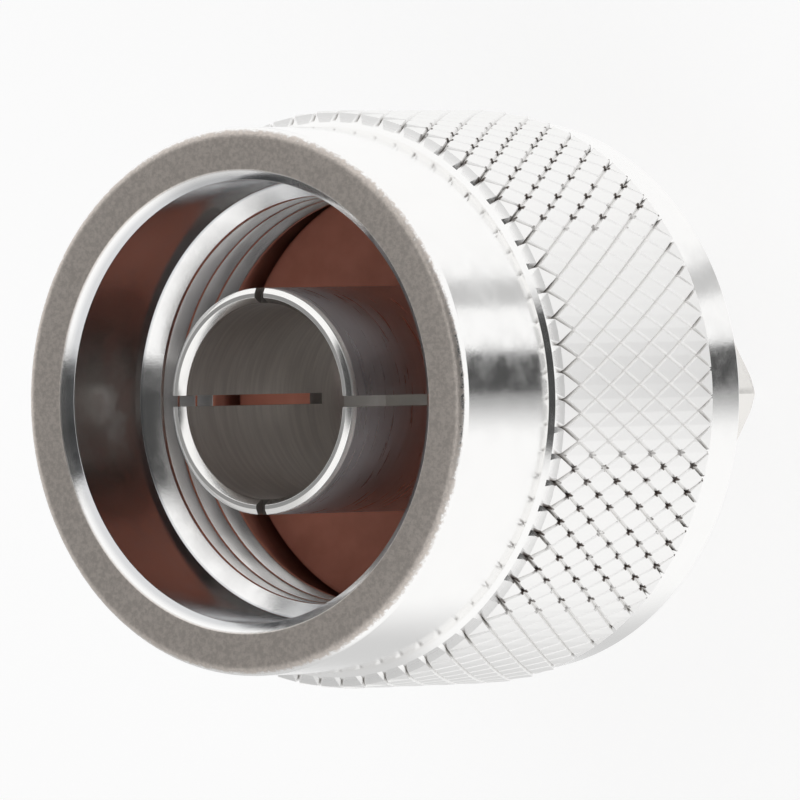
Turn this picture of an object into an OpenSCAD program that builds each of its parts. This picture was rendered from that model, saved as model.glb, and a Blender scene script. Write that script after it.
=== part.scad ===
// Straight N type plug for a coaxial cable, with a turning coupling nut and a clamped cable entry.
// It stands on its hexagon nut with its mouth up. The origin is the middle of the rear face, and
// +Z is the direction in which it is pushed on its socket. Millimetres.

/* [Coupling nut outside] */
// Diameter over the crests of the knurl
knurl_d = 21; // [20.8:0.1:23]
// Depth of the knurl
knurl_depth = 0.35; // [0.1:0.05:0.4]
// Grooves of each hand round the knurl
knurl_count = 65; // [40:1:80]
// Slant of the grooves from the axis, in degrees
knurl_slant = 28; // [20:1:40]
// Length of the knurled stretch
knurl_len = 9.35; // [7:0.05:10]
// Step from the crests of the knurl down to the plain band at the mouth
band_drop = 0.6; // [0.4:0.05:0.9]
// Length of the plain band at the mouth
band_len = 5.15; // [3:0.05:6]
// Rounding of the outer edge of the mouth
mouth_round = 0.4; // [0.1:0.05:0.6]
// Width of the turned line behind the band
line_w = 0.1; // [0.1:0.05:0.4]
// Depth of the turned line behind the band
line_depth = 0.25; // [0.1:0.05:0.4]
// Step from the crests of the knurl down to the plain band at the rear
tail_drop = 0.4; // [0.4:0.05:0.8]
// Length of the plain band at the rear
tail_len = 2.35; // [1.8:0.05:3]
// Chamfer at the rear edge
tail_chamfer = 0.4; // [0.1:0.05:0.6]

/* [Coupling nut inside] */
// Diameter of the plain entry in front of the thread
entry_d = 16; // [15.9:0.05:16.4]
// Depth of the plain entry, from the front face
entry_len = 4.3; // [2:0.1:5]
// Chamfer at the mouth
mouth_chamfer = 0.38; // [0.1:0.02:0.6]
// Diameter inside the 5/8-24 thread
thread_d = 14.8; // [14.7:0.02:15]
// Depth at which the thread ends, from the front face
thread_end = 9; // [7:0.1:9.5]
// Diameter of the room behind the thread
room_d = 16.4; // [16:0.1:17]
// Depth of the shoulder that pulls on the flange, from the front face
shoulder_depth = 13.55; // [12.5:0.05:14]
// Thickness of the wall behind the shoulder
shoulder_t = 1.75; // [1:0.05:2]
// Diameter of the recess round the retaining ring
recess_d = 15.8; // [15.2:0.1:17]

/* [Connector body] */
// Length of the body
body_len = 7.8; // [7:0.1:9]
// Diameter of the barrel that the nut turns on
barrel_d = 13; // [12.2:0.1:13.4]
// Thickness of the flange
flange_t = 1.8; // [1:0.1:2.2]
// Diameter of the rear bore, where the clamp nut screws in
rear_bore_d = 9.2; // [8:0.1:9.8]
// Thickness of the web between the two bores
web_t = 0.7; // [0.5:0.1:1]
// Diameter of the hole through the web
web_hole_d = 4; // [3.4:0.1:5]
// Distance across the two spanner flats
flat_af = 12; // [11:0.1:12.8]
// Length of the spanner flats
flat_len = 2; // [1:0.1:2.2]
// Chamfer at the rear edge of the barrel
barrel_chamfer = 0.3; // [0.1:0.05:0.4]

/* [Outer contact] */
// Outside diameter of the contact tube
contact_d = 8.2; // [8:0.01:8.3]
// Wall of the contact tube
contact_wall = 0.55; // [0.4:0.05:0.7]
// Diameter of the tube's foot, in the flange and the gasket
contact_foot_d = 8.8; // [8.6:0.05:9]
// Reach of the contact tube in front of the flange
contact_reach = 10.7; // [10:0.1:10.8]
// Depth of the contact tube inside the flange
contact_seat = 1.8; // [1:0.1:2.4]
// Number of spring slots
slot_count = 4; // [2:1:6]
// Width of a spring slot
slot_w = 0.4; // [0.2:0.05:0.8]
// Length of a spring slot
slot_len = 8.4; // [5:0.1:8.8]
// Rounding of the mouth of the contact tube
contact_round = 0.25; // [0.05:0.05:0.25]

/* [Gasket and insulator] */
// Thickness of the silicone gasket
gasket_t = 1.6; // [1:0.1:2]
// Edge rounding of the gasket
gasket_round = 0.2; // [0.1:0.05:0.4]
// Diameter of the insulator, and of the bore that it sits in
insulator_d = 6.6; // [6:0.05:6.9]
// Length of the insulator
insulator_len = 3.1; // [2.2:0.1:3.6]
// Hole through the insulator for the centre contact
insulator_hole_d = 3.1; // [2:0.1:3.4]
// Chamfer round the hole of the insulator
insulator_chamfer = 0.2; // [0.1:0.05:0.4]

/* [Retaining ring] */
// Thickness of the ring
ring_t = 0.8; // [0.5:0.05:1]
// Diameter of the groove that the ring sits in
groove_d = 11.6; // [11:0.1:12]
// Width of the ring, across its section
ring_w = 1.4; // [1:0.1:1.6]
// Opening of the split in the ring
ring_split = 3; // [1:0.1:5]

/* [Cable clamp] */
// Distance across the flats of the clamp nut
hex_af = 11; // [10.4:0.1:13]
// Thickness of the hexagon of the clamp nut
hex_len = 3.5; // [2.4:0.1:5]
// Turned diameter of the hexagon's end faces
hex_face_d = 11.9; // [10.8:0.1:12.4]
// Diameter of the cable
cable_d = 5; // [3:0.1:5.4]
// Diameter of the insulation inside the cable
core_d = 2.95; // [1.5:0.05:3.2]
// Countersink of the cable entry
entry_chamfer = 0.5; // [0.2:0.05:0.8]
// Thickness of the slip washer
washer_t = 0.4; // [0.2:0.05:0.6]
// Thickness of the clamp gasket
clamp_gasket_t = 1.5; // [1:0.1:2]
// Thickness of the flange of the braid clamp
braid_flange_t = 0.6; // [0.4:0.05:0.8]
// Length of the cone of the braid clamp
braid_cone_len = 0.8; // [0.4:0.05:0.9]

/* [Clearances] */
// Running clearance between the coupling nut and the body
run_gap = 0.05; // [0.02:0.01:0.1]
// Room round the flange and the gasket, inside the coupling nut
free_gap = 0.25; // [0.1:0.05:0.4]
// Slip clearance of the loose pieces in the rear bore, and round the cable
slip_gap = 0.05; // [0.02:0.01:0.15]

/* [Hidden] */
$fn = 96;
eps = 0.01;

nickel = "#d6d5d1";
spring_nickel = "#c9c7c2";
silicone_red = "#6f3429";
ptfe_white = "#f1efe9";
rubber_black = "#2b2a2a";
brass = "#c8ab6a";

// Heights along the axis, from the rear face up
body_z = hex_len;
flange_top = body_z + body_len;
flange_z = flange_top - flange_t;
gasket_top = flange_top + gasket_t;
contact_z = flange_top - contact_seat;
insulator_top = contact_z + insulator_len;
contact_top = flange_top + contact_reach;
web_z = contact_z - web_t;
braid_z = web_z - braid_flange_t - braid_cone_len;
gasket_rear_z = web_z - braid_flange_t - clamp_gasket_t;
washer_z = gasket_rear_z - washer_t;
shoulder_z = flange_z - run_gap;
nut_top = shoulder_z + shoulder_depth;
nut_len = band_len + line_w + knurl_len + tail_len;
nut_z = nut_top - nut_len;
recess_top = shoulder_z - shoulder_t;
ring_z = recess_top - run_gap - ring_t;

flange_r = room_d / 2 - free_gap;
barrel_r = barrel_d / 2;
contact_r = contact_d / 2;
contact_bore_r = contact_r - contact_wall;
foot_r = contact_foot_d / 2;
ring_r = groove_d / 2 + ring_w;
cable_hole_r = cable_d / 2 + 2 * slip_gap;
core_hole_r = core_d / 2 + 2 * slip_gap;
braid_tip_r = cable_hole_r + slip_gap;
loose_r = rear_bore_d / 2 - slip_gap;

// A quarter round from one angle to another, as points of a profile
function arc(x, z, r, from, to, steps = 6) =
    [for (i = [0:steps]) let (a = from + (to - from) * i / steps) [x + r * cos(a), z + r * sin(a)]];

// The knurl: a sleeve of low pyramids between two families of crossing grooves. Row k of groove
// crossings lies at height k * knurl_row, and each second row is shifted by half a pitch.
knurl_step = 360 / knurl_count;
crest_r = knurl_d / 2;
knurl_root_r = crest_r - knurl_depth;
knurl_rows = max(2, round(knurl_len * 2 * tan(knurl_slant) * knurl_count / (PI * knurl_d)));
knurl_row = knurl_len / knurl_rows;
knurl_skin = 0.1;
knurl_core_r = knurl_root_r - knurl_skin;
band_r = crest_r - band_drop;
tail_r = crest_r - tail_drop;
knurl_inner_r = min(band_r - line_depth, tail_r, knurl_core_r) - knurl_skin;

function knurl_ring(k, r, shift) =
    [for (i = [0:knurl_count - 1]) let (a = (i + shift) * knurl_step)
        [r * cos(a), r * sin(a), k * knurl_row]];
function crossing(k, i) = k * knurl_count + (i + knurl_count) % knurl_count;

module knurl_sleeve() {
    n = knurl_count;
    last = knurl_rows;
    crest_start = (last + 1) * n;
    inner_start = crest_start + (last - 1) * n;
    points = [
        for (k = [0:last]) each knurl_ring(k, knurl_root_r, (k % 2) / 2),
        for (k = [1:last - 1]) each knurl_ring(k, crest_r, ((k + 1) % 2) / 2),
        each knurl_ring(0, knurl_inner_r, 0),
        each knurl_ring(last, knurl_inner_r, (last % 2) / 2),
    ];
    faces = [
        for (k = [1:last - 1], j = [0:n - 1])
            let (left = crossing(k, j - k % 2), right = crossing(k, j - k % 2 + 1),
                 over = crossing(k + 1, j), under = crossing(k - 1, j),
                 crest = crest_start + (k - 1) * n + j)
            each [[crest, over, right], [crest, left, over], [crest, under, left], [crest, right, under]],
        for (j = [0:n - 1]) [crossing(0, j), crossing(1, j), crossing(0, j + 1)],
        for (j = [0:n - 1])
            [crossing(last, j - last % 2 + 1), crossing(last - 1, j), crossing(last, j - last % 2)],
        for (j = [0:n - 1]) let (next = (j + 1) % n)
            each [[crossing(0, j), crossing(0, j + 1), inner_start + next, inner_start + j],
                  [crossing(last, j + 1), crossing(last, j), inner_start + n + j, inner_start + n + next],
                  [inner_start + j, inner_start + next, inner_start + n + j],
                  [inner_start + next, inner_start + n + next, inner_start + n + j]],
    ];
    polyhedron(points = points, faces = faces);
}

module coupling_nut() {
    thread_r = thread_d / 2;
    entry_r = entry_d / 2;
    knurl_top = nut_top - band_len - line_w;
    knurl_z = knurl_top - knurl_len;
    color(nickel) union() {
        rotate_extrude() polygon([
            [recess_d / 2, nut_z],
            [tail_r - tail_chamfer, nut_z],
            [tail_r, nut_z + tail_chamfer],
            [tail_r, knurl_z + knurl_skin],
            [knurl_core_r, knurl_z + knurl_skin],
            [knurl_core_r, knurl_top - knurl_skin],
            [band_r - line_depth, knurl_top - knurl_skin],
            [band_r - line_depth, knurl_top + line_w],
            [band_r, knurl_top + line_w],
            each arc(band_r - mouth_round, nut_top - mouth_round, mouth_round, 0, 90),
            [entry_r + mouth_chamfer, nut_top],
            [entry_r, nut_top - mouth_chamfer],
            [entry_r, nut_top - entry_len],
            [thread_r, nut_top - entry_len - (entry_r - thread_r)],
            [thread_r, nut_top - thread_end + (room_d / 2 - thread_r)],
            [room_d / 2, nut_top - thread_end],
            [room_d / 2, shoulder_z],
            [barrel_r + run_gap, shoulder_z],
            [barrel_r + run_gap, recess_top],
            [recess_d / 2, recess_top],
        ]);
        translate([0, 0, knurl_z]) knurl_sleeve();
    }
}

module connector_body() {
    color(nickel) difference() {
        rotate_extrude() polygon([
            [rear_bore_d / 2, body_z],
            [barrel_r - barrel_chamfer, body_z],
            [barrel_r, body_z + barrel_chamfer],
            [barrel_r, ring_z],
            [groove_d / 2, ring_z],
            [groove_d / 2, ring_z + ring_t],
            [barrel_r, ring_z + ring_t],
            [barrel_r, flange_z],
            [flange_r, flange_z],
            [flange_r, flange_top],
            [foot_r, flange_top],
            [foot_r, contact_z],
            [web_hole_d / 2, contact_z],
            [web_hole_d / 2, web_z],
            [rear_bore_d / 2, web_z],
        ]);
        for (side = [-1, 1])
            translate([side * (flat_af + barrel_d) / 2, 0, body_z + (flat_len - eps) / 2])
                cube([barrel_d, barrel_d, flat_len + eps], center = true);
    }
}

module outer_contact() {
    color(spring_nickel) difference() {
        rotate([0, 0, 180 / slot_count]) rotate_extrude() polygon([
            [insulator_d / 2, contact_z],
            [foot_r, contact_z],
            [foot_r, gasket_top],
            [contact_r, gasket_top],
            each arc(contact_r - contact_round, contact_top - contact_round, contact_round, 0, 90),
            each arc(contact_bore_r + contact_round, contact_top - contact_round, contact_round, 90, 180),
            [contact_bore_r, insulator_top],
            [insulator_d / 2, insulator_top],
        ]);
        for (i = [0:slot_count - 1])
            rotate([0, 0, i * 360 / slot_count])
                translate([0, -slot_w / 2, contact_top - slot_len])
                    cube([contact_d, slot_w, slot_len + eps]);
    }
}

module gasket() {
    color(silicone_red) rotate_extrude() polygon([
        [foot_r, flange_top],
        [flange_r, flange_top],
        each arc(flange_r - gasket_round, gasket_top - gasket_round, gasket_round, 0, 90),
        [foot_r, gasket_top],
    ]);
}

module retaining_ring() {
    color(brass) difference() {
        translate([0, 0, ring_z]) cylinder(r = ring_r, h = ring_t);
        translate([0, 0, ring_z - eps]) cylinder(d = groove_d, h = ring_t + 2 * eps);
        translate([0, -ring_split / 2, ring_z - eps])
            cube([ring_r + eps, ring_split, ring_t + 2 * eps]);
    }
}

module insulator() {
    hole_r = insulator_hole_d / 2;
    color(ptfe_white) rotate_extrude() polygon([
        [hole_r, contact_z],
        [insulator_d / 2, contact_z],
        [insulator_d / 2, insulator_top],
        [hole_r + insulator_chamfer, insulator_top],
        [hole_r, insulator_top - insulator_chamfer],
    ]);
}

module braid_clamp() {
    color(nickel) rotate_extrude() polygon([
        [core_hole_r, braid_z],
        [braid_tip_r, braid_z],
        [loose_r - braid_flange_t, braid_z + braid_cone_len],
        [loose_r, braid_z + braid_cone_len],
        [loose_r, web_z],
        [core_hole_r, web_z],
    ]);
}

module clamp_gasket() {
    color(rubber_black) difference() {
        translate([0, 0, gasket_rear_z]) cylinder(r = loose_r, h = clamp_gasket_t);
        translate([0, 0, gasket_rear_z - eps]) cylinder(r = cable_hole_r, h = clamp_gasket_t + 2 * eps);
        rotate_extrude() polygon([
            [0, braid_z],
            [braid_tip_r, braid_z],
            [loose_r - braid_flange_t, braid_z + braid_cone_len],
            [0, braid_z + braid_cone_len],
        ]);
    }
}

module slip_washer() {
    color(brass) difference() {
        translate([0, 0, washer_z]) cylinder(r = loose_r, h = washer_t);
        translate([0, 0, washer_z - eps]) cylinder(r = cable_hole_r, h = washer_t + 2 * eps);
    }
}

module clamp_nut() {
    hex_r = hex_af / 2 / cos(30);
    face_r = hex_face_d / 2;
    chamfer_h = (hex_r - face_r) * tan(30);
    color(nickel) difference() {
        union() {
            intersection() {
                cylinder(r = hex_r, h = hex_len, $fn = 6);
                rotate_extrude() polygon([
                    [0, 0],
                    [face_r, 0],
                    [hex_r + eps, chamfer_h],
                    [hex_r + eps, hex_len - chamfer_h],
                    [face_r, hex_len],
                    [0, hex_len],
                ]);
            }
            translate([0, 0, hex_len - eps]) cylinder(d = rear_bore_d, h = washer_z - hex_len + eps);
        }
        translate([0, 0, -eps]) cylinder(r = cable_hole_r, h = washer_z + 2 * eps);
        translate([0, 0, -eps])
            cylinder(r1 = cable_hole_r + entry_chamfer + eps, r2 = cable_hole_r, h = entry_chamfer + eps);
    }
}

coupling_nut();
connector_body();
outer_contact();
gasket();
retaining_ring();
insulator();
braid_clamp();
clamp_gasket();
slip_washer();
clamp_nut();
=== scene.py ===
import math
import bpy
from mathutils import Matrix, Vector


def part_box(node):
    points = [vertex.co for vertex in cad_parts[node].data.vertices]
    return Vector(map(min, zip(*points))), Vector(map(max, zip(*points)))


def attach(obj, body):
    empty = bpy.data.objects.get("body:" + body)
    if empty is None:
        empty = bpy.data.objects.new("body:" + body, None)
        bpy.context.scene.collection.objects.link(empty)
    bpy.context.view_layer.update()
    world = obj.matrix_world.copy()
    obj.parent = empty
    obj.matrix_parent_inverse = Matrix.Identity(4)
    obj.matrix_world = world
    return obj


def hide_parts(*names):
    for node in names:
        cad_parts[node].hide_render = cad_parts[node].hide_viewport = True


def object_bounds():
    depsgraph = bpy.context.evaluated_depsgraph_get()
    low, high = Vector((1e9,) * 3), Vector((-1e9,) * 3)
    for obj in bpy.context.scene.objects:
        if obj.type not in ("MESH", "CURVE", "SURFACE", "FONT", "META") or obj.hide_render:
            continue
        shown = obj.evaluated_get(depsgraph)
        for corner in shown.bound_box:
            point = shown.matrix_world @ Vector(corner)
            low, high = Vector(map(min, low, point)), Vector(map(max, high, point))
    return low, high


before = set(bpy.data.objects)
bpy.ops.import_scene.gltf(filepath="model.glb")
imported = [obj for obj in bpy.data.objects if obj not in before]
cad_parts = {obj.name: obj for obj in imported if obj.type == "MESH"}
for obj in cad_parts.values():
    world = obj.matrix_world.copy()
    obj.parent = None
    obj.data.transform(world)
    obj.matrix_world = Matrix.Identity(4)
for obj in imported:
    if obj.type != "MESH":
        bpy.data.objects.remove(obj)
solid_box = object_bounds()

# ---------------------------------------------------------------- Camera
# The view is into the mouth of the coupling nut, 37 degrees off its axis. The camera lies on its
# side, so that the axis runs level across the picture while the plug stands on its hexagon.
mm = 0.001
nut_low, nut_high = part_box("coupling_nut")
mouth_z = nut_high.z

view_turn = math.radians(36.9)
view_dip = math.radians(0.75)
view_distance = 700 * mm
picture_scale = 27.75 / mm
picture_size = 800
sensor_width = 36
side_step = 5.66 * mm
up_step = 0.06 * mm

rightward = Vector((math.cos(view_turn), -math.sin(view_turn) * math.sin(view_dip),
                    -math.sin(view_turn) * math.cos(view_dip)))
upward = Vector((0, math.cos(view_dip), -math.sin(view_dip)))
backward = rightward.cross(upward)
camera_place = (Vector((0, 0, mouth_z)) + backward * view_distance
                + rightward * side_step + upward * up_step)

camera_data = bpy.data.cameras.new("camera")
camera_data.sensor_width = sensor_width
camera_data.lens = picture_scale * view_distance / picture_size * sensor_width
camera_data.clip_start = 0.05
camera_data.clip_end = 20
camera = bpy.data.objects.new("camera", camera_data)
camera.matrix_world = (Matrix.Translation(camera_place)
                       @ Matrix((rightward, upward, backward)).transposed().to_4x4())
bpy.context.scene.collection.objects.link(camera)
bpy.context.scene.camera = camera
bpy.context.scene.view_settings.view_transform = "Standard"

# ---------------------------------------------------------------- Studio
# A white tent of light with a few grey and dark cards hung round it, which the bright plating
# mirrors. The cards belong to the room and stay where they are when the nut turns.


def wired(tree, kind, sockets=None, **settings):
    """A new node with its settings, and a value or a link on each socket that is named."""
    node = tree.nodes.new(kind)
    for name, value in settings.items():
        setattr(node, name, value)
    for name, value in (sockets or {}).items():
        if isinstance(value, bpy.types.NodeSocket):
            tree.links.new(value, node.inputs[name])
        else:
            node.inputs[name].default_value = value
    return node


def faded(tree, value, start, end, first=0.0, last=1.0):
    """A number that eases from first to last as the value goes from start to end."""
    return wired(tree, "ShaderNodeMapRange",
                 {"Value": value, "From Min": start, "From Max": end, "To Min": first, "To Max": last},
                 interpolation_type="SMOOTHSTEP").outputs["Result"]


def product(tree, *values):
    """The product of two or more numbers in a node tree."""
    result = values[0]
    for value in values[1:]:
        result = wired(tree, "ShaderNodeMath", {0: result, 1: value}, operation="MULTIPLY").outputs[0]
    return result


def blended(tree, share, first, last):
    """A number between first and last, by a share from 0 to 1."""
    return wired(tree, "ShaderNodeMix", {"Factor": share, "A": first, "B": last}).outputs["Result"]


tent = bpy.data.worlds.new("tent")
bpy.context.scene.world = tent
tent.use_nodes = True
tent_tree = tent.node_tree
tent_tree.nodes.clear()
outward = wired(tent_tree, "ShaderNodeTexCoord").outputs["Generated"]
split = wired(tent_tree, "ShaderNodeSeparateXYZ", {"Vector": outward})
out_x, out_y, out_z = split.outputs["X"], split.outputs["Y"], split.outputs["Z"]


def round_card(centre, inner, outer):
    """The share of a round card that is hung in one direction, with a soft edge."""
    middle = Vector(centre).normalized()
    cosine = wired(tent_tree, "ShaderNodeVectorMath", {0: outward, 1: middle},
                   operation="DOT_PRODUCT").outputs["Value"]
    return faded(tent_tree, cosine, math.cos(math.radians(outer)), math.cos(math.radians(inner)))


# The rail and the strip hang low on the lit side. Each edge of a card eases over a small angle.
lit_side = faded(tent_tree, out_x, -0.05, 0.1)
low_row = product(tent_tree, lit_side, faded(tent_tree, out_z, -0.66, -0.73),
                  faded(tent_tree, out_z, -0.93, -0.88))
rail = product(tent_tree, low_row,
               faded(tent_tree, out_y, 0.012, 0.026), faded(tent_tree, out_y, 0.215, 0.19))
rail_glow = product(tent_tree, low_row,
                    faded(tent_tree, out_y, 0.026, 0.012), faded(tent_tree, out_y, -0.16, 0.02))
strip = product(tent_tree, low_row,
                faded(tent_tree, out_y, 0.37, 0.39), faded(tent_tree, out_y, 0.48, 0.46))
far_side = product(tent_tree, faded(tent_tree, out_x, 0.0, -0.35), faded(tent_tree, out_y, 0.0, -0.4))
lens_card = round_card((0.474, 0.17, 0.864), 20, 28)
side_card = round_card((0.78, 0.1, 0.6), 19, 25)
back_card = round_card((-0.6, 0.0, 0.8), 22, 35)

white = 1.0
glow = blended(tent_tree, far_side, white, 0.65)
for card, tone in ((back_card, 0.27), (lens_card, 0.06), (side_card, 0.06),
                   (rail_glow, 0.35), (strip, 0.55), (rail, 0.07)):
    glow = blended(tent_tree, card, glow, tone)
ray = wired(tent_tree, "ShaderNodeLightPath")
glow = blended(tent_tree, ray.outputs["Is Camera Ray"], glow, white)
tent_light = wired(tent_tree, "ShaderNodeBackground", {"Color": glow})
wired(tent_tree, "ShaderNodeOutputWorld", {"Surface": tent_light.outputs[0]})

# ---------------------------------------------------------------- Floor
# A plain white board that the plug stands on. It keeps the plug's soft shadow, and the plating
# mirrors the tent in place of it.
floor_reach = 3.0
floor_white = 0.8
shadow_paint = 0.3
floor_glow = 0.77
floor_mesh = bpy.data.meshes.new("floor")
floor_mesh.from_pydata([(-floor_reach, -floor_reach, 0), (floor_reach, -floor_reach, 0),
                        (floor_reach, floor_reach, 0), (-floor_reach, floor_reach, 0)],
                       [], [(0, 1, 2, 3)])
floor = bpy.data.objects.new("floor", floor_mesh)
floor.location.z = solid_box[0].z
bpy.context.scene.collection.objects.link(floor)
board = bpy.data.materials.new("white_board")
board.use_nodes = True
board_tree = board.node_tree
board_tree.nodes.clear()
board_ray = wired(board_tree, "ShaderNodeLightPath")
board_glow = wired(board_tree, "ShaderNodeEmission",
                   {"Strength": product(board_tree, board_ray.outputs["Is Camera Ray"], floor_glow)})
board_colour = blended(board_tree, board_ray.outputs["Is Camera Ray"], floor_white, shadow_paint)
board_matt = wired(board_tree, "ShaderNodeBsdfDiffuse", {"Color": board_colour})
board_sum = wired(board_tree, "ShaderNodeAddShader", {0: board_glow.outputs[0], 1: board_matt.outputs[0]})
wired(board_tree, "ShaderNodeOutputMaterial", {"Surface": board_sum.outputs[0]})
floor_mesh.materials.append(board)
floor.visible_glossy = False

# ---------------------------------------------------------------- Connector body
# Turned from brass bar and nickel plated. Its flange carries the gasket, its barrel carries the
# coupling nut, and its rear bore takes the cable clamp. It hardly shows.


def plated(name, colour, roughness, cloud, dent):
    """Bright plating on turned metal: its shine clouds a little, and it has fine dents."""
    metal = bpy.data.materials.new(name)
    metal.use_nodes = True
    tree = metal.node_tree
    place = wired(tree, "ShaderNodeTexCoord").outputs["Object"]
    clouds = wired(tree, "ShaderNodeTexNoise",
                   {"Vector": place, "Scale": 900.0, "Detail": 4.0, "Roughness": 0.6}).outputs["Fac"]
    grains = wired(tree, "ShaderNodeTexNoise",
                   {"Vector": place, "Scale": 5200.0, "Detail": 2.0}).outputs["Fac"]
    dents = wired(tree, "ShaderNodeBump", {"Height": grains, "Distance": dent * mm, "Strength": 1.0})
    shader = tree.nodes["Principled BSDF"]
    shader.inputs["Base Color"].default_value = (*colour, 1)
    shader.inputs["Metallic"].default_value = 1.0
    gloss = faded(tree, clouds, 0.35, 0.7, roughness, roughness + cloud)
    tree.links.new(gloss, shader.inputs["Roughness"])
    tree.links.new(dents.outputs["Normal"], shader.inputs["Normal"])
    return metal


def coated(name, material):
    """Gives a piece that is shown as built its one material."""
    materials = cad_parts[name].data.materials
    materials.clear()
    materials.append(material)


body_plate = plated("body_nickel", (0.86, 0.84, 0.81), 0.2, 0.12, 0.0012)
coated("connector_body", body_plate)

# ---------------------------------------------------------------- Outer contact
# A thin tube of phosphor bronze, turned, cut with four spring slots and plated. It is pressed into
# the body's flange, and its fingers spring against the bore of the socket.


def eased(corners, steps=5):
    """The outline of a closed section whose corners are (radius, height, rounding)."""
    outline = []
    for i, (r, z, rounding) in enumerate(corners):
        here = Vector((r, z))
        before = Vector(corners[i - 1][:2]) - here
        after = Vector(corners[(i + 1) % len(corners)][:2]) - here
        if rounding <= 0:
            outline.append((r, z))
            continue
        half = before.angle(after) / 2
        reach = rounding / math.tan(half)
        inward = (before.normalized() + after.normalized()).normalized()
        centre = here + inward * rounding / math.sin(half)
        start = here + before.normalized() * reach - centre
        swing = start.angle_signed(here + after.normalized() * reach - centre)
        for k in range(steps + 1):
            turn = -swing * k / steps
            spoke = Vector((start.x * math.cos(turn) - start.y * math.sin(turn),
                            start.x * math.sin(turn) + start.y * math.cos(turn)))
            outline.append(tuple(centre + spoke))
    return outline


def polar(r, angle, z):
    """A point by its distance from the axis, its angle round it and its height."""
    return (r * math.cos(angle), r * math.sin(angle), z)


def made(name, points, faces, crease=25):
    """A smooth mesh object, with its creases kept sharp."""
    mesh = bpy.data.meshes.new(name)
    mesh.from_pydata(points, [], faces)
    mesh.validate()
    mesh.shade_smooth()
    mesh.set_sharp_from_angle(angle=math.radians(crease))
    piece = bpy.data.objects.new(name, mesh)
    bpy.context.scene.collection.objects.link(piece)
    return piece


def evened(piece):
    """Lets the large faces of a piece set its shading, so that its rounded edges catch the light."""
    even = piece.modifiers.new("even", "WEIGHTED_NORMAL")
    even.keep_sharp = True
    return piece


def ring_faces(first, second, count):
    """The faces between two rings of points, each given by the number of its first point."""
    return [(first + i, first + (i + 1) % count, second + (i + 1) % count, second + i)
            for i in range(count)]


def turned(name, outline, count=192):
    """A piece turned from the closed outline of its section."""
    points = [polar(r, math.tau * i / count, z) for r, z in outline for i in range(count)]
    rings = len(outline)
    faces = [face for k in range(rings) for face in ring_faces(k * count, (k + 1) % rings * count, count)]
    return evened(made(name, points, faces))


tube_low, tube_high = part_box("outer_contact")
gasket_low, gasket_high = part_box("gasket")
ptfe_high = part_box("insulator")[1]
slot_count = 4
slot_width = 0.4 * mm
slot_length = 8.4 * mm
tube_r = 4.1 * mm
tube_bore_r = 3.55 * mm
tube_lip = 0.3 * mm
rim_drop = 0.1 * mm
rim_step = 0.2 * mm
rim_easing = 0.03 * mm
foot_r = tube_high.x
foot_top = gasket_high.z - 0.3 * mm
slot_bottom = tube_high.z - slot_length
near = 0.02 * mm


def slotted_tube(name):
    """The contact tube: four fingers over a plain foot, with straight walls along its slots."""
    lip = eased([(tube_bore_r, 0, 0), (tube_r, 0, 0), (tube_r, tube_high.z - rim_drop, 0.04 * mm),
                 (tube_r - rim_step, tube_high.z, rim_easing),
                 (tube_bore_r + rim_step, tube_high.z, rim_easing),
                 (tube_bore_r, tube_high.z - tube_lip, 0.1 * mm)], 4)[2:]
    wall_length = tube_high.z - 1.3 * tube_lip - slot_bottom
    bands = 8
    heights = [slot_bottom + wall_length * k / bands for k in range(bands + 1)]
    section = [(tube_r, z) for z in heights] + lip + [(tube_bore_r, z) for z in reversed(heights)]
    spokes = 40
    points, faces = [], []
    for finger in range(slot_count):
        middle = math.tau * (finger + 0.5) / slot_count
        start = len(points)
        for k in range(spokes + 1):
            share = 2 * k / spokes - 1
            for r, z in section:
                half = math.pi / slot_count - math.asin(slot_width / 2 / r)
                points.append(polar(r, middle + share * half, z))
        length = len(section)
        for k in range(spokes):
            for i in range(length - 1):
                a = start + k * length + i
                faces.append((a, a + length, a + length + 1, a + 1))
        low_side, high_side = start, start + spokes * length
        for i in range(length // 2):
            across = length - 1 - i
            faces.append((low_side + i, low_side + i + 1, low_side + across - 1, low_side + across))
            faces.append((high_side + i + 1, high_side + i, high_side + across, high_side + across - 1))
    foot = eased([(ptfe_high.x, tube_low.z, 0), (foot_r, tube_low.z, 0), (foot_r, foot_top, 0.05 * mm),
                  (tube_r, foot_top, 0), (tube_r, slot_bottom, 0), (tube_bore_r, slot_bottom, 0),
                  (tube_bore_r, ptfe_high.z, 0), (ptfe_high.x, ptfe_high.z, 0)], 3)
    count = 240
    start = len(points)
    points += [polar(r, math.tau * i / count, z) for r, z in foot for i in range(count)]
    for k in range(len(foot)):
        faces += ring_faces(start + k * count, start + (k + 1) % len(foot) * count, count)
    return evened(made(name, points, faces))


contact = slotted_tube("contact_tube")
contact_plate = plated("contact_plating", (0.95, 0.94, 0.92), 0.14, 0.08, 0.0006)
contact.data.materials.append(contact_plate)


def tinted(tree, share, first, last):
    """A colour between first and last, by a share from 0 to 1."""
    first, last = [(*end, 1) if isinstance(end, tuple) else end for end in (first, last)]
    return wired(tree, "ShaderNodeMix", {"Factor": share, "A": first, "B": last},
                 data_type="RGBA").outputs[2]


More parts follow.
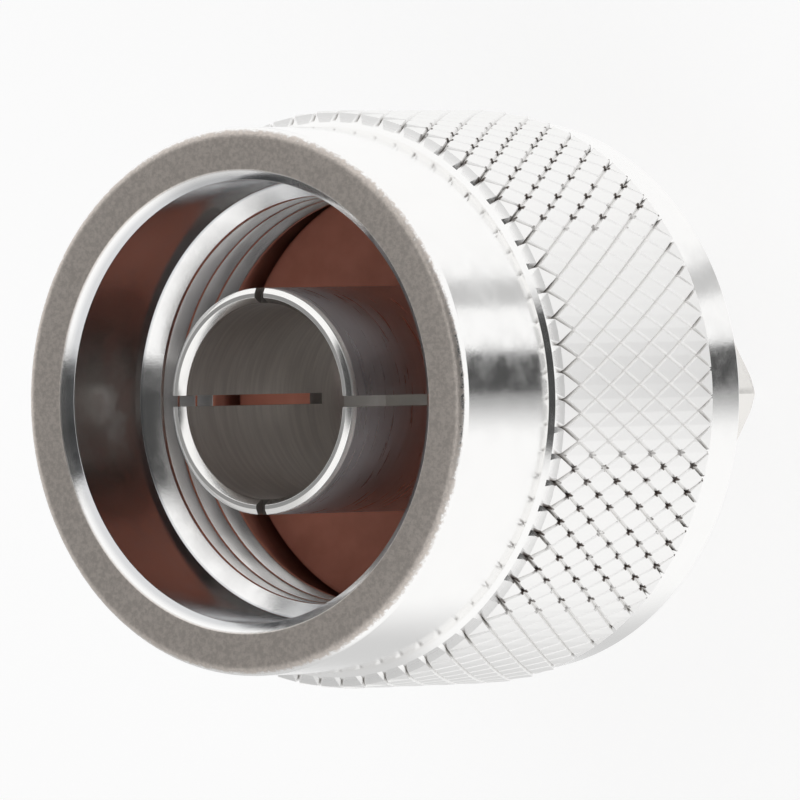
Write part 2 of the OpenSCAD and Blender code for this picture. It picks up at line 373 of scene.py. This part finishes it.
def shade_darkened_plate(name, dark, light, roughness):
    """Plate whose tone is darkened to paint shade and dark reflections, with the faint rings of the
    turning tool round it.
    """
    metal = bpy.data.materials.new(name)
    metal.use_nodes = True
    tree = metal.node_tree
    place = wired(tree, "ShaderNodeTexCoord").outputs["Object"]
    round_it = wired(tree, "ShaderNodeMapping", {"Vector": place, "Scale": (0.08, 0.08, 1.0)})
    rings = wired(tree, "ShaderNodeTexNoise",
                  {"Vector": round_it.outputs[0], "Scale": 5200.0, "Detail": 3.0}).outputs["Fac"]
    tone = tinted(tree, faded(tree, rings, 0.3, 0.75), dark, light)
    shader = tree.nodes["Principled BSDF"]
    tree.links.new(tone, shader.inputs["Base Color"])
    shader.inputs["Metallic"].default_value = 1.0
    tree.links.new(faded(tree, rings, 0.3, 0.7, roughness, roughness + 0.12), shader.inputs["Roughness"])
    return metal


# Painted shade: the bore and the slot and foot faces get darker plate than the rim, for the shade deep in
# the mouth. The outer side's darker plate is a painted dark reflection.
contact.data.materials.append(shade_darkened_plate("contact_bore_painted_shade", (0.62, 0.58, 0.56), (0.76, 0.72, 0.69), 0.34))
contact.data.materials.append(shade_darkened_plate("contact_side_painted_dark_reflection", (0.48, 0.47, 0.48), (0.52, 0.51, 0.53), 0.26))
contact.data.materials.append(shade_darkened_plate("contact_cut_painted_shade", (0.34, 0.32, 0.3), (0.4, 0.38, 0.36), 0.45))
for face in contact.data.polygons:
    radius = math.hypot(*face.center.xy)
    if face.center.z > tube_high.z - 1.2 * tube_lip:
        face.material_index = 0
    elif radius < tube_bore_r + near:
        face.material_index = 1
    elif radius > tube_r - near:
        face.material_index = 2
    else:
        face.material_index = 3
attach(contact, "plug")
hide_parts("outer_contact")

# ---------------------------------------------------------------- Gasket
# A flat ring of red-brown silicone round the foot of the contact tube. The rim of the socket is
# screwed down on it, which keeps water out.


def silicone(name):
    """Matt silicone rubber with a faint mottle and a fine grain. Its tone is painted about twice as light
    as the rubber's own, as painted light in the dim bottom of the mouth.
    """
    rubber = bpy.data.materials.new(name)
    rubber.use_nodes = True
    tree = rubber.node_tree
    place = wired(tree, "ShaderNodeTexCoord").outputs["Object"]
    mottle = wired(tree, "ShaderNodeTexNoise",
                   {"Vector": place, "Scale": 700.0, "Detail": 5.0}).outputs["Fac"]
    # Painted light: this red-brown is about twice as light as the rubber's own colour, to light the dim
    # bottom of the mouth.
    tone = tinted(tree, faded(tree, mottle, 0.3, 0.7), (0.74, 0.29, 0.2), (0.84, 0.34, 0.24))
    grain = wired(tree, "ShaderNodeTexNoise",
                  {"Vector": place, "Scale": 9000.0, "Detail": 2.0}).outputs["Fac"]
    skin = wired(tree, "ShaderNodeBump", {"Height": grain, "Distance": 0.004 * mm, "Strength": 0.6})
    shader = tree.nodes["Principled BSDF"]
    tree.links.new(tone, shader.inputs["Base Color"])
    shader.inputs["Roughness"].default_value = 0.6
    tree.links.new(skin.outputs["Normal"], shader.inputs["Normal"])
    return rubber


gasket_edge = 0.2 * mm
gasket_lip_r = tube_r + near
gasket_lip_z = foot_top + near
gasket = turned("gasket_ring", eased([
    (foot_r, gasket_low.z, 0.05 * mm), (gasket_high.x, gasket_low.z, 0.05 * mm),
    (gasket_high.x, gasket_high.z, gasket_edge), (gasket_lip_r, gasket_high.z, 0.08 * mm),
    (gasket_lip_r, gasket_lip_z, 0), (foot_r, gasket_lip_z, 0)]))
gasket.data.materials.append(silicone("red_silicone"))
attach(gasket, "plug")
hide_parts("gasket")

# ---------------------------------------------------------------- Insulator
# A short white bush of fluoropolymer in the foot of the tube. It holds the centre contact, which
# comes with the cable.


def soft_plastic(name, light, dark, roughness, scale):
    """An even plastic or rubber with a faint mottle."""
    plastic = bpy.data.materials.new(name)
    plastic.use_nodes = True
    tree = plastic.node_tree
    place = wired(tree, "ShaderNodeTexCoord").outputs["Object"]
    mottle = wired(tree, "ShaderNodeTexNoise",
                   {"Vector": place, "Scale": scale, "Detail": 4.0}).outputs["Fac"]
    tone = tinted(tree, faded(tree, mottle, 0.3, 0.7), dark, light)
    skin = wired(tree, "ShaderNodeBump", {"Height": mottle, "Distance": 0.006 * mm, "Strength": 0.5})
    shader = tree.nodes["Principled BSDF"]
    tree.links.new(tone, shader.inputs["Base Color"])
    shader.inputs["Roughness"].default_value = roughness
    tree.links.new(skin.outputs["Normal"], shader.inputs["Normal"])
    return plastic


coated("insulator", soft_plastic("white_ptfe", (0.9, 0.89, 0.86), (0.82, 0.81, 0.78), 0.4, 1500.0))

# ---------------------------------------------------------------- Retaining ring and slip washer
# Plain bronze. The split ring snaps into the barrel's groove behind the coupling nut, and the
# washer lets the clamp nut turn without twisting the clamp gasket.


def bare_bronze(name):
    """Plain bronze that has stained a little darker and duller in places."""
    metal = bpy.data.materials.new(name)
    metal.use_nodes = True
    tree = metal.node_tree
    place = wired(tree, "ShaderNodeTexCoord").outputs["Object"]
    stain = wired(tree, "ShaderNodeTexNoise",
                  {"Vector": place, "Scale": 1300.0, "Detail": 5.0, "Roughness": 0.65}).outputs["Fac"]
    tone = tinted(tree, faded(tree, stain, 0.35, 0.7), (0.74, 0.57, 0.33), (0.56, 0.4, 0.22))
    shader = tree.nodes["Principled BSDF"]
    tree.links.new(tone, shader.inputs["Base Color"])
    shader.inputs["Metallic"].default_value = 1.0
    tree.links.new(faded(tree, stain, 0.3, 0.7, 0.28, 0.45), shader.inputs["Roughness"])
    return metal


bronze = bare_bronze("spring_bronze")
for name in ("retaining_ring", "slip_washer"):
    coated(name, bronze)

# ---------------------------------------------------------------- Clamp gasket and braid clamp
# The rubber ring squeezes the cable's jacket. The nickel-plated cone in front of it spreads the
# braid and presses it on the body.
light_black, deep_black = (0.06, 0.06, 0.06), (0.035, 0.035, 0.035)
coated("clamp_gasket", soft_plastic("black_rubber", light_black, deep_black, 0.65, 2400.0))
coated("braid_clamp", body_plate)

# ---------------------------------------------------------------- Clamp nut
# Hexagon brass bar, turned at both ends, bored for the cable and nickel plated. It screws into the
# rear of the body and presses the clamp gasket on the cable.
clamp_low, clamp_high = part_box("clamp_nut")
hex_af = 11 * mm
hex_length = 3.5 * mm
hex_face_r = 5.95 * mm
hex_easing = 0.1 * mm
hex_chamfer = math.radians(30)
neck_r = 4.6 * mm
cable_hole_r = 2.6 * mm
cable_mouth = 0.5 * mm


def soft_min(a, b, k):
    """The lesser of two lengths, rounded over where they cross."""
    share = max(k - abs(a - b), 0) / k
    return min(a, b) - share * share * k / 4


def hex_radius(angle, height):
    """The radius of the chamfered hexagon at an angle and at a height over its lower face."""
    sixth = math.radians(60)
    turn = angle % sixth
    flat = hex_af / 2 / math.cos(turn - sixth / 2)
    next_flat = hex_af / 2 / math.cos(min(turn, sixth - turn) + sixth / 2)
    chamfer = hex_face_r + min(height, hex_length - height) / math.tan(hex_chamfer)
    return soft_min(soft_min(flat, next_flat, hex_easing), chamfer, hex_easing)


def clamp_nut_mesh(name):
    """The clamp nut: its chamfered hexagon, the neck above it and the cable's hole, row by row."""
    count = 288
    edge = 0.08 * mm
    edge_steps = 5
    fine_rows, fine_gap = 13, 0.03 * mm
    fine = [fine_gap * k for k in range(fine_rows)]
    heights = [edge + h for h in fine] + [hex_length - edge - h for h in reversed(fine)]
    rows = [lambda angle: (cable_hole_r + cable_mouth, 0)]
    for k in range(edge_steps + 1):
        tilt = math.radians(90 * k / edge_steps)
        rows.append(lambda angle, tilt=tilt: (hex_radius(angle, edge) - edge + edge * math.sin(tilt),
                                              edge - edge * math.cos(tilt)))
    for height in heights:
        rows.append(lambda angle, height=height: (hex_radius(angle, height), height))
    for k in range(edge_steps + 1):
        tilt = math.radians(90 * k / edge_steps)
        rows.append(lambda angle, tilt=tilt: (hex_radius(angle, edge) - edge + edge * math.cos(tilt),
                                              hex_length - edge + edge * math.sin(tilt)))
    top = clamp_high.z - clamp_low.z
    for r, z in ((neck_r, hex_length), (neck_r, top), (cable_hole_r, top), (cable_hole_r, cable_mouth)):
        rows.append(lambda angle, r=r, z=z: (r, z))
    points = []
    for row in rows:
        for i in range(count):
            angle = math.tau * i / count
            r, z = row(angle)
            points.append(polar(r, angle, clamp_low.z + z))
    faces = [face for k in range(len(rows))
             for face in ring_faces(k * count, (k + 1) % len(rows) * count, count)]
    return evened(made(name, points, faces, 30))


clamp_nut = clamp_nut_mesh("clamp_nut_hexagon")
clamp_nut.data.materials.append(body_plate)
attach(clamp_nut, "plug")
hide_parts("clamp_nut")

# ---------------------------------------------------------------- Coupling nut
# Turned and knurled from brass bar, threaded inside and nickel plated bright. It turns freely on
# the body's barrel and draws the plug on its socket.
crest_r = nut_high.x
band_r = crest_r - 0.6 * mm
tail_r = crest_r - 0.4 * mm
band_length = 5.15 * mm
mouth_rounding = 0.4 * mm
mouth_chamfer = 0.38 * mm
tail_length = 2.35 * mm
entry_r = 8 * mm
entry_length = 4.3 * mm
thread_r = 7.4 * mm
thread_root_r = 7.9 * mm
thread_pitch = 25.4 * mm / 24
thread_end = 9 * mm
room_r = 8.2 * mm
shoulder_depth = 13.55 * mm
shoulder_thickness = 1.75 * mm
nut_bore_r = 6.55 * mm
recess_r = 7.9 * mm
cone_length = 0.47 * mm
land_length = 0.15 * mm
land_z = mouth_z - entry_length - cone_length - land_length
lead_length = 0.5 * mm
tail_chamfer = 0.4 * mm
edge_cone = 0.17 * mm
end_slope = 0.12 * mm
knurl_top = mouth_z - band_length - edge_cone - end_slope
knurl_low = nut_low.z + tail_length + end_slope
knurl_count = 65
knurl_rows = 10
groove_depth = 0.1 * mm
groove_share = 0.16
notch_r = crest_r - 0.3 * mm
pad_r = crest_r - 0.012 * mm
edge_r = pad_r - 0.08 * mm
spokes = 4 * knurl_count


def nut_outline():
    """The nut's section from the front of the knurl over the mouth and inside to its rear."""
    shoulder_z = mouth_z - shoulder_depth
    corners = [
        (band_r + edge_cone, knurl_top + end_slope, 0), (band_r, knurl_top + end_slope + edge_cone, 0),
        (band_r, mouth_z, mouth_rounding),
        (entry_r + mouth_chamfer, mouth_z, 0.06 * mm), (entry_r, mouth_z - mouth_chamfer, 0.06 * mm),
        (entry_r, mouth_z - entry_length, 0.04 * mm), (thread_r, land_z + land_length, 0.03 * mm),
        (thread_r, land_z, 0), (thread_root_r, land_z - lead_length, 0),
        (thread_root_r, mouth_z - thread_end + (room_r - thread_root_r), 0),
        (room_r, mouth_z - thread_end, 0.04 * mm), (room_r, shoulder_z, 0.1 * mm),
        (nut_bore_r, shoulder_z, 0.08 * mm), (nut_bore_r, shoulder_z - shoulder_thickness, 0.08 * mm),
        (recess_r, shoulder_z - shoulder_thickness, 0.1 * mm), (recess_r, nut_low.z, 0.08 * mm),
        (tail_r - tail_chamfer, nut_low.z, 0.08 * mm), (tail_r, nut_low.z + tail_chamfer, 0.08 * mm),
        (tail_r, knurl_low - end_slope, 0)]
    return eased(corners)


def knurled_nut(name):
    """The whole nut: turned rings outside and inside, and the knurl as a lattice of pads."""
    points, faces = [], []
    outline = nut_outline()
    for r, z in outline:
        points += [polar(r, math.tau * i / spokes, z) for i in range(spokes)]
    for k in range(len(outline) - 1):
        faces += ring_faces(k * spokes, (k + 1) * spokes, spokes)
    turned_faces = len(faces)

    n = knurl_count
    step = math.tau / n
    z_step = (knurl_top - knurl_low) / knurl_rows

    def end_ring(z):
        """A toothed ring at an end of the knurl, with a notch where each groove runs out."""
        first = len(points)
        teeth = ((0, notch_r), (groove_share / 2, edge_r), (0.5, edge_r), (1 - groove_share / 2, edge_r))
        points.extend(polar(r, (j + share) * step, z) for j in range(n) for share, r in teeth)
        return first

    low_ring = end_ring(knurl_low)
    high_ring = end_ring(knurl_top)
    faces += ring_faces((len(outline) - 1) * spokes, low_ring, spokes)
    faces += ring_faces(high_ring, 0, spokes)

    grooves = []
    for k in range(1, knurl_rows):
        grooves.append(len(points))
        points += [polar(pad_r - groove_depth, (j + k % 2 / 2) * step, knurl_low + k * z_step)
                   for j in range(n)]

    def crossing(k, j):
        """The number of the point where two grooves cross, in row k."""
        if k == 0:
            return low_ring + 4 * (j % n)
        if k == knurl_rows:
            return high_ring + 4 * (j % n)
        return grooves[k - 1] + j % n

    reach = 1 - groove_share
    for k in range(1, knurl_rows):
        for j in range(n):
            angle = (j + (k + 1) % 2 / 2) * step
            z = knurl_low + k * z_step
            corners = [crossing(k, j - k % 2), crossing(k - 1, j),
                       crossing(k, j - k % 2 + 1), crossing(k + 1, j)]
            first = len(points)
            points.append(polar(pad_r, angle - step / 2 * reach, z))
            points.append(polar(pad_r, angle, z - z_step * reach))
            points.append(polar(pad_r, angle + step / 2 * reach, z))
            points.append(polar(pad_r, angle, z + z_step * reach))
            points.append(polar(crest_r, angle, z))
            for side in range(4):
                after = (side + 1) % 4
                faces.append((corners[side], corners[after], first + after, first + side))
                faces.append((first + side, first + after, first + 4))
    for j in range(n):
        left = low_ring + 4 * j
        right = low_ring + 4 * ((j + 1) % n)
        apex = crossing(1, j)
        tip = len(points)
        points.append(polar(pad_r, (j + 0.5) * step, knurl_low + z_step * reach))
        faces += [(left, left + 1, tip, apex), (right, apex, tip, left + 3),
                  (left + 1, left + 2, tip), (left + 2, left + 3, tip)]
        left = high_ring + 4 * j
        right = high_ring + 4 * ((j + 1) % n)
        apex = crossing(knurl_rows - 1, j)
        tip = len(points)
        points.append(polar(pad_r, (j + 0.5) * step, knurl_top - z_step * reach))
        faces += [(left, apex, tip, left + 1), (right, left + 3, tip, apex),
                  (left + 1, tip, left + 2), (left + 2, tip, left + 3)]
    return made(name, points, faces), turned_faces, len(outline) * spokes


nut, turned_count, turned_points = knurled_nut("coupling_nut_body")
for face in nut.data.polygons[turned_count:]:
    face.use_smooth = False
# Painted shade: the groove attribute darkens the knurl's grooves a little and its end notches most, where
# shade falls.
groove_shade = nut.data.attributes.new("groove", "FLOAT", "POINT")
rolled = nut.data.attributes.new("rolled", "FLOAT", "POINT")
for vertex in nut.data.vertices[turned_points:]:
    radius = math.hypot(vertex.co.x, vertex.co.y)
    if radius < edge_r - 0.01 * mm:
        groove_shade.data[vertex.index].value = (pad_r - radius) / (pad_r - notch_r)
    rolled.data[vertex.index].value = 1
evened(nut)


def thread_turns():
    """The thread as one ridge that winds up the bore, cut off by the two end cones."""
    half_foot, half_crest, sunk = 0.49 * mm, 0.08 * mm, 0.02 * mm
    ease_r, ease_z = 0.03 * mm, 0.02 * mm
    flank = [(thread_r, half_crest - ease_z), (thread_r + ease_r, half_crest + ease_z),
             (thread_root_r + sunk, half_foot)]
    ridge = [(r, -z) for r, z in reversed(flank)] + flank
    rear = mouth_z - thread_end
    winds = (land_z - rear) / thread_pitch + 1
    per_turn = 240
    rings = round(winds * per_turn)
    points, faces = [], []
    for i in range(rings + 1):
        angle = math.tau * i / per_turn
        middle = rear - thread_pitch / 2 + thread_pitch * i / per_turn
        for r, rise in ridge:
            z = middle + rise
            front_cone = thread_r + sunk + z - land_z
            rear_cone = room_r - (z - rear)
            points.append(polar(max(r, front_cone, rear_cone), angle, z))
    side = len(ridge)
    for i in range(rings):
        for k in range(side):
            a = i * side + k
            b = i * side + (k + 1) % side
            faces.append((a, b, b + side, a + side))
    faces.append(tuple(reversed(range(side))))
    faces.append(tuple(range(rings * side, rings * side + side)))
    return evened(made("coupling_thread", points, faces))


thread = thread_turns()


def nut_plating(name):
    """Bright nickel: grainy on the faced mouth, duller on the knurl, and painted darker in the plain
    entry as painted shade.

    Painted shade darkens the knurl's grooves and the notches at its ends, with spots of painted shade
    where the grooves cross on two sides."""
    bright, groove_shade_tone, faced = (0.97, 0.965, 0.955), (0.36, 0.34, 0.32), (0.68, 0.62, 0.57)
    entry_shade_tone, entry_shade_share, crossing_shade_colour = (0.3, 0.32, 0.36), 0.4, (0.1, 0.08, 0.07)
    shaded_sides, shade_inner_angle, shade_outer_angle = (-29, 54), math.radians(15), math.radians(22)
    rolled_gloss, faced_gloss = 0.45, 0.4
    fine_dent, faced_dent = 0.0012 * mm, 0.012 * mm
    metal = bpy.data.materials.new(name)
    metal.use_nodes = True
    tree = metal.node_tree
    place = wired(tree, "ShaderNodeTexCoord").outputs["Object"]
    clouds = wired(tree, "ShaderNodeTexNoise",
                   {"Vector": place, "Scale": 900.0, "Detail": 4.0, "Roughness": 0.6}).outputs["Fac"]
    grains = wired(tree, "ShaderNodeTexNoise",
                   {"Vector": place, "Scale": 6500.0, "Detail": 3.0, "Roughness": 0.65}).outputs["Fac"]
    place_x, place_y, height = wired(tree, "ShaderNodeSeparateXYZ", {"Vector": place}).outputs
    flat = wired(tree, "ShaderNodeVectorMath", {0: place, 1: (1, 1, 0)}, operation="MULTIPLY")
    radius = wired(tree, "ShaderNodeVectorMath", {0: flat.outputs[0]},
                   operation="LENGTH").outputs["Value"]
    ragged = wired(tree, "ShaderNodeMath", {0: grains, 1: 0.35 * mm, 2: height},
                   operation="MULTIPLY_ADD").outputs[0]
    face_share = product(tree, faded(tree, ragged, mouth_z - 0.02 * mm, mouth_z + 0.1 * mm),
                         faded(tree, radius, entry_r + 0.3 * mm, entry_r + 0.4 * mm))
    groove = wired(tree, "ShaderNodeAttribute", attribute_name="groove").outputs["Fac"]
    # The knurl's grooves and notches are painted darker, as painted shade.
    plate_tone = tinted(tree, faded(tree, groove, 0.1, 1.0), bright, groove_shade_tone)
    pitted = tuple(0.8 * c for c in faced)
    grain_tone = tinted(tree, faded(tree, grains, 0.35, 0.65), pitted, faced)
    tone = tinted(tree, face_share, plate_tone, grain_tone)
    around = wired(tree, "ShaderNodeMath", {0: place_y, 1: place_x}, operation="ARCTAN2").outputs[0]
    pitches = wired(tree, "ShaderNodeMath", {0: around, 1: knurl_count / math.tau},
                    operation="MULTIPLY").outputs[0]
    row_rate = knurl_rows / (knurl_top - knurl_low) / 2  # groove pitches per metre of height
    rise = wired(tree, "ShaderNodeMath", {0: height, 1: row_rate, 2: -knurl_low * row_rate},
                 operation="MULTIPLY_ADD").outputs[0]
    rolled_share = wired(tree, "ShaderNodeAttribute", attribute_name="rolled").outputs["Fac"]
    # Painted shade: dark spots where the knurl's grooves cross, on two sides of the nut only.
    patches = wired(tree, "ShaderNodeTexNoise", {"Vector": place, "Scale": 1400.0, "Detail": 3.0})
    crossing_shade = product(tree, rolled_share, faded(tree, patches.outputs["Fac"], 0.35, 0.5))
    for hand in (1, -1):
        line = wired(tree, "ShaderNodeMath", {0: rise, 1: hand, 2: pitches},
                     operation="MULTIPLY_ADD").outputs[0]
        across = wired(tree, "ShaderNodeMath", {0: line, 1: 0.5, 2: -0.5}, operation="WRAP").outputs[0]
        away = wired(tree, "ShaderNodeMath", {0: across}, operation="ABSOLUTE").outputs[0]
        crossing_shade = product(tree, crossing_shade, faded(tree, away, 0.17, 0.11))
    sides = []
    for centre in shaded_sides:
        toward = (math.cos(math.radians(centre)), math.sin(math.radians(centre)), 0)
        cosine = wired(tree, "ShaderNodeVectorMath", {0: place, 1: toward},
                       operation="DOT_PRODUCT").outputs["Value"]
        sides.append(faded(tree, cosine, crest_r * math.cos(shade_outer_angle),
                           crest_r * math.cos(shade_inner_angle)))
    side_share = wired(tree, "ShaderNodeMath", {0: sides[0], 1: sides[1]}, operation="MAXIMUM").outputs[0]
    tone = tinted(tree, product(tree, crossing_shade, side_share), tone, crossing_shade_colour)
    gloss = blended(tree, rolled_share, faded(tree, clouds, 0.35, 0.7, 0.12, 0.2), rolled_gloss)
    gloss = blended(tree, face_share, gloss, faced_gloss)
    # Painted shade: the plain entry's wall and the inner edge of its chamfer are painted a darker grey.
    wall_share = product(tree, faded(tree, radius, entry_r - 0.09 * mm, entry_r - 0.03 * mm),
                         faded(tree, radius, entry_r + 0.3 * mm, entry_r + 0.1 * mm))
    tone = tinted(tree, product(tree, wall_share, entry_shade_share), tone, entry_shade_tone)
    depth = blended(tree, face_share, fine_dent, faced_dent)
    dents = wired(tree, "ShaderNodeBump", {"Height": grains, "Distance": depth, "Strength": 1.0})
    shader = tree.nodes["Principled BSDF"]
    shader.inputs["Metallic"].default_value = 1.0
    tree.links.new(tone, shader.inputs["Base Color"])
    tree.links.new(gloss, shader.inputs["Roughness"])
    tree.links.new(dents.outputs["Normal"], shader.inputs["Normal"])
    return metal


nut.data.materials.append(nut_plating("nut_nickel"))
thread.data.materials.append(plated("thread_nickel", (0.95, 0.93, 0.9), 0.16, 0.06, 0.0005))
for piece in (nut, thread):
    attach(piece, "nut")
    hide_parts("coupling_nut")
